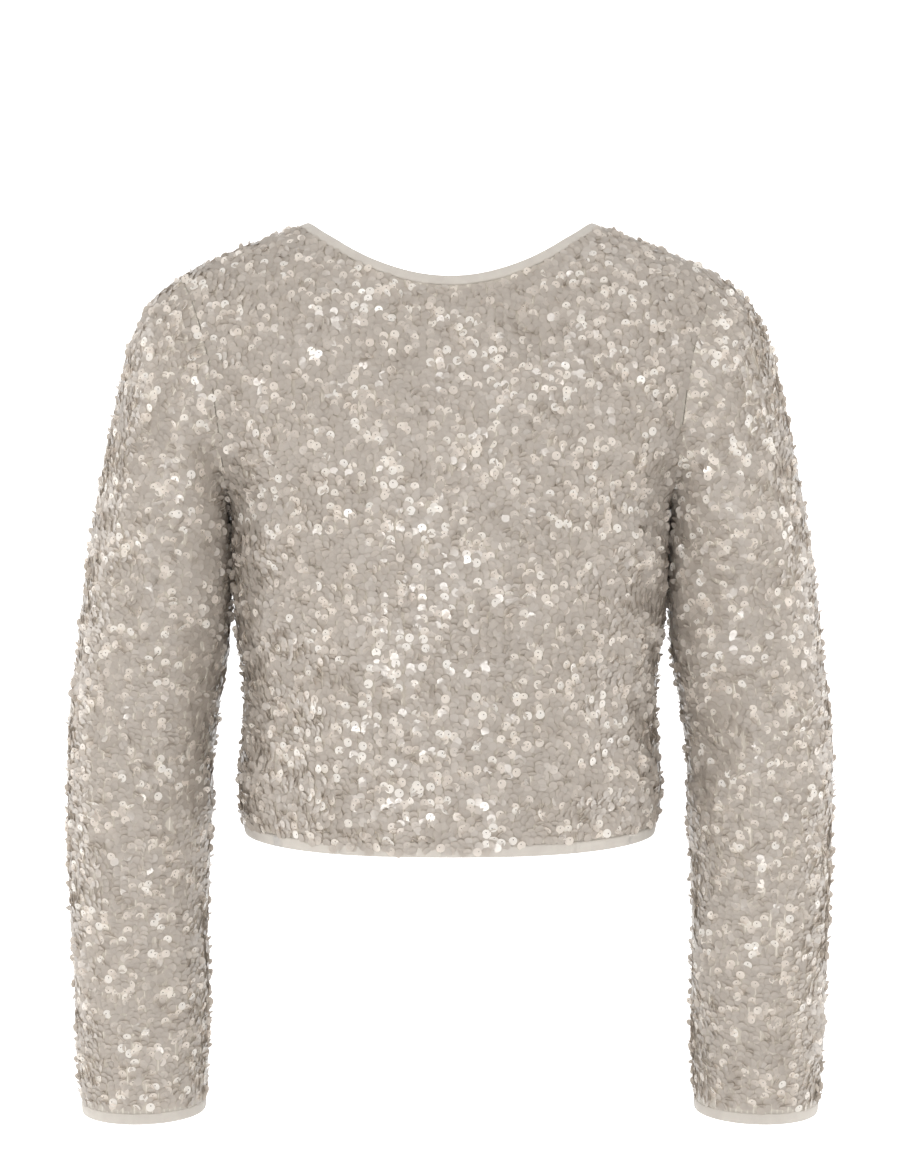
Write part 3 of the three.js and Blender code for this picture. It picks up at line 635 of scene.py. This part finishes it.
def sew_sequins(name, places, facings, ways, seed):
    """One joined mesh of sequins, each with its own tilt, bend and tone, the lighter tones being painted
    glints.
    """
    count = len(places)
    across = unit(np.cross(facings, ways))
    ways = np.cross(across, facings)
    base = np.stack([across, -ways, facings], axis=-1)
    # patches of cloth where the sequins have been brushed sideways
    brushed = slow_noise(places, BRUSHED_SIZE, seed)
    patch = slow_noise(places, PATCH_SIZE, seed + 1)
    spin = BRUSHED_TURN * brushed + PATCH_TURN * np.sign(patch) * ease((np.abs(patch) - 0.5) / 0.6)
    spin += luck.normal(0, TURN_SPREAD, count)
    loose = luck.random(count)
    spin += np.where(loose < LOOSE_SHARE, luck.uniform(-LOOSE_TURN, LOOSE_TURN, count), 0)
    lift = np.radians(luck.normal(*LIFT_DEGREES, count))
    roll = np.radians(luck.normal(0, ROLL_SPREAD, count))
    stray = luck.random(count)
    lift += np.where(stray < STANDING_SHARE, np.radians(luck.uniform(*STANDING_DEGREES, count)), 0)
    rolled = (stray > ROLLED_SHARES[0]) & (stray < ROLLED_SHARES[1])
    roll += np.where(rolled, np.radians(luck.uniform(-ROLLED_DEGREES, ROLLED_DEGREES, count)), 0)
    turn = base @ turn_about(2, spin) @ turn_about(0, lift) @ turn_about(1, roll)
    # a slight bend across each disc
    bend_way = luck.uniform(0, math.pi, count)
    bend = luck.normal(0, BEND_SPREAD, count)
    size = luck.normal(1, SIZE_SPREAD, count)
    flat = np.repeat(disc[None], count, axis=0) * size[:, None, None]
    along = flat[..., 0] * np.cos(bend_way)[:, None] + flat[..., 1] * np.sin(bend_way)[:, None]
    flat[..., 2] += bend[:, None] * along**2
    # tone: most keep the film's quiet greige that blends into the cloth; some are painted lighter and a
    # few near white, as painted glints
    chance = luck.random(count) + 0.05 * np.clip(slow_noise(places, 50, seed + 2), -1.5, 1.5)
    tone = QUIET_TONE[0] + luck.normal(0, QUIET_TONE[1], count)
    for share, lowest, highest in PAINTED_GLINT_TONES:
        tone = np.where(chance > share, luck.uniform(lowest, highest, count), tone)
    # most of the discs painted lightest, as glints, have worked loose and lie on top of the others
    stand = (STAND_OFF + LIFTED_STAND * np.abs(np.sin(lift)) * SEQUIN_RADIUS
             + luck.uniform(0, STACK_HEIGHT, count) ** 1.5)
    on_top = np.where(tone > 0.9, ON_TOP_CHANCE["painted_flash"], ON_TOP_CHANCE["light"])
    stand += np.where(luck.random(count) < on_top, ON_TOP_HEIGHT, 0) * ease((tone - 0.4) / 0.2)
    points = np.einsum("nij,nkj->nki", turn, flat) + (places + facings * stand[:, None])[:, None]
    tone = np.round(tone * LAST_TONE) / LAST_TONE

    corners = np.array([corner for face in disc_faces for corner in face])
    sizes = np.array([len(face) for face in disc_faces])
    mesh = bpy.data.meshes.new(name)
    mesh.vertices.add(count * len(disc))
    mesh.vertices.foreach_set("co", (points / 1000).astype(np.float32).ravel())
    mesh.loops.add(count * len(corners))
    offsets = (np.arange(count) * len(disc))[:, None]
    mesh.loops.foreach_set("vertex_index", (corners[None] + offsets).astype(np.int32).ravel())
    mesh.polygons.add(count * len(sizes))
    starts = np.concatenate([[0], np.cumsum(np.tile(sizes, count))[:-1]])
    mesh.polygons.foreach_set("loop_start", starts.astype(np.int32))
    # the hole faces take the thread material, which paints the shade of the hole
    is_hole = np.arange(len(sizes)) == len(sizes) - 1
    mesh.polygons.foreach_set("material_index", np.tile(is_hole, count).astype(np.int32))
    mesh.polygons.foreach_set("use_smooth", np.ones(count * len(sizes), dtype=bool))
    tone_and_glint_layer = mesh.attributes.new("tone", "FLOAT", "FACE")
    tone_and_glint_layer.data.foreach_set("value", np.repeat(tone, len(sizes)).astype(np.float32))
    # a map of 8 by 8 fields, one for each tone, with all discs of that tone laid in its field
    field = np.round(tone * LAST_TONE)
    fields = np.stack([field % TONE_FIELDS, field // TONE_FIELDS], axis=-1)[:, None]
    laid = (fields + 0.5 + disc[corners, :2] / DISC_IN_FIELD) / TONE_FIELDS
    tone_map = mesh.uv_layers.new(name="OFBake")
    tone_map.data.foreach_set("uv", laid.astype(np.float32).ravel())
    mesh.update(calc_edges=True)
    mesh.validate()
    piece = bpy.data.objects.new(name, mesh)
    scene.collection.objects.link(piece)
    piece.data.materials.append(pearl_film)
    piece.data.materials.append(thread_hole)
    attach(piece, "root")
    return piece


for index, side in enumerate(SIDES):
    # close levels over the shoulders, where the cloth lies nearly flat
    levels = np.concatenate([np.arange(0.5, 48, 0.1), np.arange(48, 429, 1.0)])
    swing = np.linspace(-math.pi / 2, math.pi / 2, 401)
    drop = np.repeat(levels[:, None], len(swing), axis=1)
    x = body_sizes(side, drop)[0] * np.sin(swing)[None]
    surface, _ = panel_surface(side, x, drop)
    faces_out = grid_normals(surface, False)
    faces_out *= np.where(faces_out[..., 1] * SIDES[side] < 0, -1, 1)[..., None]
    low = ease((drop - hem_drop(x / HEM_HALF) + 6) / 6)
    surface += (LOWEST_LIFT * low)[..., None] * faces_out
    overhang = OVERHANG[side] * np.exp(-(((x - OVERHANG_MIDDLE) / OVERHANG_REACH) ** 4)) - HEM_CLEARANCE
    along_armhole = (drop > TIP_DROP) & (drop < UNDERARM_DROP - 2)
    seam_gap = np.where(along_armhole, ARMHOLE_CLEARANCE, SEAM_CLEARANCE)
    inside = np.abs(x) <= panel_half(drop) - seam_gap
    inside &= drop >= neck_drop(side, x) + NECK_CLEARANCE
    inside &= drop <= hem_drop(x / HEM_HALF) + overhang
    found = sequin_places(surface, faces_out, inside.astype(float))
    sew_sequins(side + "_sequins", *found, 11 + 10 * index)

for index, (arm, way) in enumerate(ARMS.items()):
    fine_points = sleeve_fine[arm]
    faces_out = grid_normals(fine_points, True)
    channels = np.concatenate([fine_points, faces_out], axis=-1)
    levels = np.arange(TIP_DROP + 0.5, SLEEVE_SECTIONS[-1, 1] - 0.5, 1.0)
    level_grid = np.zeros((len(levels), SLEEVE_TURNS + 1, 6))
    inside = np.zeros((len(levels), SLEEVE_TURNS + 1))
    for column in range(SLEEVE_TURNS + 1):
        drops = -channels[:, column, 2]
        for k in range(6):
            level_grid[:, column, k] = np.interp(levels, drops, channels[:, column, k])
        inside[:, column] = levels >= drops[0] + SLEEVE_HEAD_CLEARANCE
        inside[:, column] *= levels <= drops[-1] - CUFF_CLEARANCE
    found = sequin_places(level_grid[..., :3], unit(level_grid[..., 3:]), inside)
    found = [np.array(values) * (way, 1, 1) for values in found]
    sew_sequins(f"sleeve_{arm}_sequins", *found, 41 + 10 * index)

# The neck, hem and cuff bindings.
# Narrow strips of plain stretch jersey, folded over the cut edge of the cloth and sewn through.
# They are matt and slightly puffed, and a shade lighter than the sequins.
NECK_BINDING_WIDTH = 6.3
NECK_BINDING_LAP = 1.3  # how far it also reaches down over the sequinned cloth
EDGE_BINDING_WIDTH = 7.5
BINDING_THICKNESS = 3.0
BINDING_SINK = 0.8  # its middle lies this far under the outer face of the cloth
BINDING_SQUARENESS = 0.6
STRIP_WIDTH_FLAT = 0.018  # in metres, before it is folded over
STRIP_FACES_ROUND = 20
EDGE_POINTS = 160  # along each panel's part of an edge
NECK_LEAN = {"in": 5.8, "up": 3.2, "up_at_centre": 5.7, "in_at_centre": 2.7}

# Binding: plain matt polyamide jersey, knitted fine, with a soft bloom and no gloss.
binding_jersey = bpy.data.materials.new("plain_binding_jersey")
binding_jersey.use_nodes = True
binding_jersey.node_tree.nodes.clear()
strip_place = add_node(binding_jersey, "ShaderNodeUVMap", {"uv_map": "cloth"})
# knit ribs 0.9 mm apart, coarser than the real 0.4 mm so that they show
strip_ribs = add_node(
    binding_jersey, "ShaderNodeTexWave",
    {"Scale": WAVE_AT_ONE / 0.0009, "Distortion": 0.8, "Detail": 2.0, "Detail Scale": 3.0},
    {"Vector": strip_place.outputs["UV"]})
# soft mottling, in patches of about 8 mm
mottle = add_node(
    binding_jersey, "ShaderNodeTexNoise", {"Scale": 130.0, "Detail": 4.0},
    {"Vector": strip_place.outputs["UV"]})
binding_tone = add_node(
    binding_jersey, "ShaderNodeValToRGB", {"stops": [(0.3, "#bdb6ae"), (0.7, "#c5bfb6")]},
    {"Fac": mottle.outputs["Fac"]})
strip_bump = add_node(
    binding_jersey, "ShaderNodeBump", {"Strength": 0.12, "Distance": 0.0003},
    {"Height": strip_ribs.outputs["Fac"]})
binding_shader = add_node(
    binding_jersey, "ShaderNodeBsdfPrincipled",
    {"Roughness": 0.82, "Sheen Weight": 0.3, "Sheen Roughness": 0.45},
    {"Base Color": binding_tone.outputs["Color"], "Normal": strip_bump.outputs["Normal"]})
add_node(binding_jersey, "ShaderNodeOutputMaterial", links={"Surface": binding_shader.outputs["BSDF"]})


def bind_edge(name, node, points, normals, leads, width, gap):
    """A strip along a closed edge, given as points, the way each faces and the way on from it."""
    steps = len(points)
    out = unit(leads - np.sum(leads * normals, axis=-1, keepdims=True) * normals)
    length = np.linalg.norm(np.roll(points, -1, axis=0) - points, axis=1).sum()

    def strip(across, down):
        place = (across + 1) / 2 * steps
        low = np.floor(place + 1e-6).astype(int) % steps
        angle = down * 2 * math.pi
        reach = np.sign(np.cos(angle)) * np.abs(np.cos(angle)) ** BINDING_SQUARENESS
        rise = np.sign(np.sin(angle)) * np.abs(np.sin(angle)) ** BINDING_SQUARENESS
        # the strip is sewn down unevenly, so it puffs a little more here and less there
        run = place / steps * length
        puff = 1 + 0.012 * np.sin(run / 6.3) + 0.03 * np.sin(run / 15.7 + 1)
        along = gap + width / 2 * (1 + reach)
        thick = BINDING_THICKNESS / 2 * rise * puff - BINDING_SINK
        return points[low] + out[low] * along[:, None] + normals[low] * thick[:, None]

    cut = (length / 1000, STRIP_WIDTH_FLAT)
    piece = cloth_piece(name, steps, STRIP_FACES_ROUND, cut, strip, closed=True)
    bm = bmesh.new()
    bm.from_mesh(piece.data)
    bmesh.ops.recalc_face_normals(bm, faces=bm.faces)
    bm.to_mesh(piece.data)
    bm.free()
    piece.data.materials.append(binding_jersey)
    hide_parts(node)
    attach(piece, "root")
    return piece


def edge_loop(spots):
    """An edge of both panels as one loop: spots gives x and drop for each share from -1 to 1."""
    shares = np.linspace(-1, 1, EDGE_POINTS + 1)[:-1]
    parts = []
    for side, way in (("front", 1), ("back", -1)):
        x, drop = spots(side, shares * way)
        parts.append(panel_surface(side, x, drop))
    points = np.concatenate([part[0] for part in parts])
    normals = np.concatenate([part[1] for part in parts])
    return points, normals


def hem_spots(side, shares):
    wide = np.sin(shares * math.pi / 2)
    return wide * body_sizes(side, np.full_like(shares, HEM_DROP))[0], hem_drop(wide)


def neck_spots(side, shares):
    turn = np.abs(shares) * math.pi / 2
    return NECK_HALF * np.sin(shares * math.pi / 2), NECK_DROP + NECK_DEPTH[side] * np.cos(turn) ** 2


hem_points, hem_normals = edge_loop(hem_spots)
hem_leads = np.tile((0.0, 0.0, -1.0), (len(hem_points), 1))
hem_binding = bind_edge("hem_binding_strip", "hem_binding", hem_points, hem_normals, hem_leads,
                        EDGE_BINDING_WIDTH, 0.0)

neck_points, neck_normals = edge_loop(neck_spots)
sideways = np.abs(neck_points[:, 0]) / NECK_HALF
ahead = np.sqrt(np.maximum(0, 1 - sideways**2))
neck_leads = np.stack([
    -NECK_LEAN["in"] * neck_points[:, 0] / NECK_HALF,
    -np.sign(neck_points[:, 1]) * NECK_LEAN["in_at_centre"] * ahead,
    NECK_LEAN["up"] + (NECK_LEAN["up_at_centre"] - NECK_LEAN["up"]) * ahead**2,
], axis=-1)
neck_binding = bind_edge("neck_binding_strip", "neck_binding", neck_points, neck_normals, neck_leads,
                         NECK_BINDING_WIDTH + NECK_BINDING_LAP, -NECK_BINDING_LAP)

for arm, way in ARMS.items():
    cuff = sleeve_fine[arm][-1][:-1]
    facing = grid_normals(sleeve_fine[arm], True)[-1][:-1]
    leads = np.tile((0.0, 0.0, -1.0), (len(cuff), 1))
    bind_edge(f"cuff_binding_{arm}_strip", f"cuff_binding_{arm}", cuff * (way, 1, 1),
                                   facing * (way, 1, 1), leads, EDGE_BINDING_WIDTH, 0.0)

# The studio.
# A white paper sweep that runs from the floor up behind, bright enough to print pure white. Even
# white walls give most of the light, with soft boxes in front, at both sides and above.
# All studio sizes are in metres.
FLOOR = -1.05
SWEEP_HALF_WIDTH = 5
FLOOR_FRONT = -3
FLOOR_DEPTH = 6.0
SWEEP_RADIUS = 1.2
SWEEP_WALL = 4.0
FLOOR_END, BEND_END = 0.5, 0.7  # shares of the paper's rows
bm = bmesh.new()
bmesh.ops.create_grid(bm, x_segments=2, y_segments=48, size=1)
for vert in bm.verts:
    run = (vert.co.y + 1) / 2
    bend = min(1, max(0, (run - FLOOR_END) / (BEND_END - FLOOR_END))) * math.pi / 2
    y = FLOOR_FRONT + FLOOR_DEPTH * min(run, FLOOR_END) / FLOOR_END + SWEEP_RADIUS * math.sin(bend)
    z = FLOOR + SWEEP_RADIUS * (1 - math.cos(bend))
    z += SWEEP_WALL * max(0, run - BEND_END) / (1 - BEND_END)
    vert.co = (vert.co.x * SWEEP_HALF_WIDTH, y, z)
for face in bm.faces:
    face.smooth = True
sweep_mesh = bpy.data.meshes.new("paper_sweep")
bm.to_mesh(sweep_mesh)
bm.free()
sweep = bpy.data.objects.new("paper_sweep", sweep_mesh)
scene.collection.objects.link(sweep)

# Background paper: uncoated white paper, matt, lit from behind until it is plain white.
paper = bpy.data.materials.new("white_background_paper")
paper.use_nodes = True
paper.node_tree.nodes.clear()
paper_place = add_node(paper, "ShaderNodeTexCoord")
paper_split = add_node(paper, "ShaderNodeSeparateXYZ", links={"Vector": paper_place.outputs["Object"]})
# the light from behind begins just behind the object and is full a metre further back
backlight = add_node(
    paper, "ShaderNodeMapRange", {"From Min": 0.2, "From Max": 1.2, "To Min": 0.0, "To Max": 0.75},
    {"Value": paper_split.outputs["Y"]})
paper_shader = add_node(
    paper, "ShaderNodeBsdfPrincipled",
    {"Roughness": 0.95, "Base Color": srgb("#f4f4f4"), "Emission Color": srgb("#ffffff")},
    {"Emission Strength": backlight.outputs["Result"]})
add_node(paper, "ShaderNodeOutputMaterial", links={"Surface": paper_shader.outputs["BSDF"]})
sweep.data.materials.append(paper)

world = bpy.data.worlds.new("studio_walls")
scene.world = world
world.use_nodes = True
world.node_tree.nodes.clear()
walls = add_node(world, "ShaderNodeBackground", {"Color": srgb("#ffffff"), "Strength": 0.55})
add_node(world, "ShaderNodeOutputWorld", links={"Surface": walls.outputs["Background"]})


def soft_light(name, place, target, width, height, power):
    lamp = bpy.data.lights.new(name, "AREA")
    lamp.shape = "RECTANGLE"
    lamp.size, lamp.size_y = width, height
    lamp.energy = power
    lamp.color = srgb("#fffefd")[:3]
    light = bpy.data.objects.new(name, lamp)
    light.location = place
    light.rotation_euler = (Vector(target) - Vector(place)).to_track_quat("-Z", "Y").to_euler()
    scene.collection.objects.link(light)


soft_light("key_softbox", (-0.95, -1.9, 0.75), (0, 0, -0.3), 0.36, 0.36, 8.4)
soft_light("right_softbox", (0.95, -1.9, 0.35), (0, 0, -0.3), 0.34, 0.34, 6.2)
soft_light("low_softbox", (-0.35, -2.0, -0.95), (0, 0, -0.5), 0.34, 0.34, 9.6)
soft_light("front_softbox", (0, -2.1, -0.4), (0, 0, -0.4), 0.8, 0.8, 5.0)
soft_light("left_strip", (-1.5, 0.15, -0.3), (0, 0, -0.3), 0.5, 1.6, 9.5)
soft_light("right_strip", (1.5, 0.15, -0.3), (0, 0, -0.3), 0.5, 1.6, 9.5)
soft_light("top_softbox", (0, -0.5, 1.7), (0, 0, -0.1), 1.0, 0.8, 7)

PHOTO_HEIGHT = 1176  # pixels
FOCAL_PIXELS = 2000
SENSOR_HEIGHT = 36
CAMERA_PLACE = (0, -1.4, -0.254)
camera_data = bpy.data.cameras.new("photo_camera")
camera_data.sensor_fit = "VERTICAL"
camera_data.sensor_height = SENSOR_HEIGHT
camera_data.lens = SENSOR_HEIGHT * FOCAL_PIXELS / PHOTO_HEIGHT
camera = bpy.data.objects.new("photo_camera", camera_data)
camera.location = CAMERA_PLACE
camera.rotation_euler = (math.pi / 2, 0, 0)
scene.collection.objects.link(camera)
scene.camera = camera
scene.view_settings.view_transform = "Standard"
